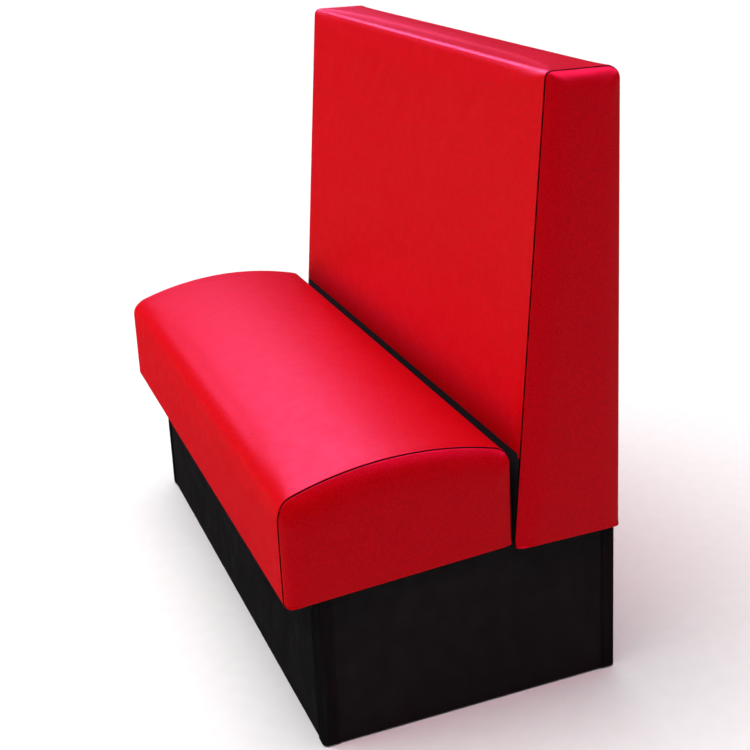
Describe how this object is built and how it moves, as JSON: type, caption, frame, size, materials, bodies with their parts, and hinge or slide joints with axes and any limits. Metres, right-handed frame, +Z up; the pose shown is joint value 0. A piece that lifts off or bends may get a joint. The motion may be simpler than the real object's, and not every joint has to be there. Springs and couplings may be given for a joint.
{
  "type": "booth bench",
  "caption": "Free-standing restaurant booth bench: crowned lift-off seat and tall leaning back in red leathercloth on a black laminated plinth.",
  "frame": {"origin": "on the floor, under the middle of the bench's width and depth", "axes": "+X along the bench to the right as seen from in front, +Y from the seat's front to the back's rear, +Z up; a sitter faces -Y"},
  "size_m": [1.18, 0.61, 1.1],
  "materials": {
    "red_vinyl": "satin",
    "black_laminate": "satin",
    "corner_trim": "satin",
    "softwood": "matte",
    "plywood": "matte",
    "foam": "matte",
    "dust_cloth": "matte",
    "glide": "matte",
    "steel": "satin"
  },
  "bodies": {
    "base": {"plinth_front_panel": "black_laminate", "plinth_rear_panel": "black_laminate", "plinth_end_panel_left": "black_laminate", "plinth_end_panel_right": "black_laminate", "plinth_corner_trim_front_left": "corner_trim", "plinth_corner_trim_front_right": "corner_trim", "plinth_corner_trim_rear_right": "corner_trim", "plinth_corner_trim_rear_left": "corner_trim", "plinth_corner_block_front_left": "softwood", "plinth_corner_block_front_right": "softwood", "plinth_corner_block_rear_right": "softwood", "plinth_corner_block_rear_left": "softwood", "plinth_front_rail": "softwood", "plinth_rear_rail": "softwood", "plinth_cross_rail": "softwood", "plinth_divider": "plywood", "floor_glide_front_left": "glide", "floor_glide_front_right": "glide", "floor_glide_rear_right": "glide", "floor_glide_rear_left": "glide", "floor_glide_centre_front": "glide", "floor_glide_centre_rear": "glide", "back_bottom_rail_front": "softwood", "back_bottom_rail_rear": "softwood", "back_top_rail": "plywood", "back_rib_left": "plywood", "back_rib_centre": "plywood", "back_rib_right": "plywood", "back_mid_rail_left": "softwood", "back_mid_rail_right": "softwood", "back_front_board": "plywood", "back_rear_board": "plywood", "back_front_foam": "foam", "back_top_pad": "foam", "back_rear_wadding": "foam", "back_end_pad_left": "foam", "back_end_pad_right": "foam", "back_cover_main": "red_vinyl", "back_cover_end_left": "red_vinyl", "back_cover_end_right": "red_vinyl", "back_screw_front_left": "steel", "back_screw_front_right": "steel", "back_screw_rear_left": "steel", "back_screw_rear_right": "steel"},
    "seat": {"seat_board": "plywood", "seat_cleat_front": "softwood", "seat_cleat_left": "softwood", "seat_cleat_right": "softwood", "seat_dust_cloth": "dust_cloth", "seat_foam": "foam", "seat_nose_pad": "foam", "seat_end_pad_left": "foam", "seat_end_pad_right": "foam", "seat_cover_main": "red_vinyl", "seat_cover_end_left": "red_vinyl", "seat_cover_end_right": "red_vinyl"}
  },
  "joints": [
    {"name": "seat_lift", "type": "slide", "parent": "base", "child": "seat", "axis": [0, 0, 1], "range_m": [0, 0.12]}
  ]
}
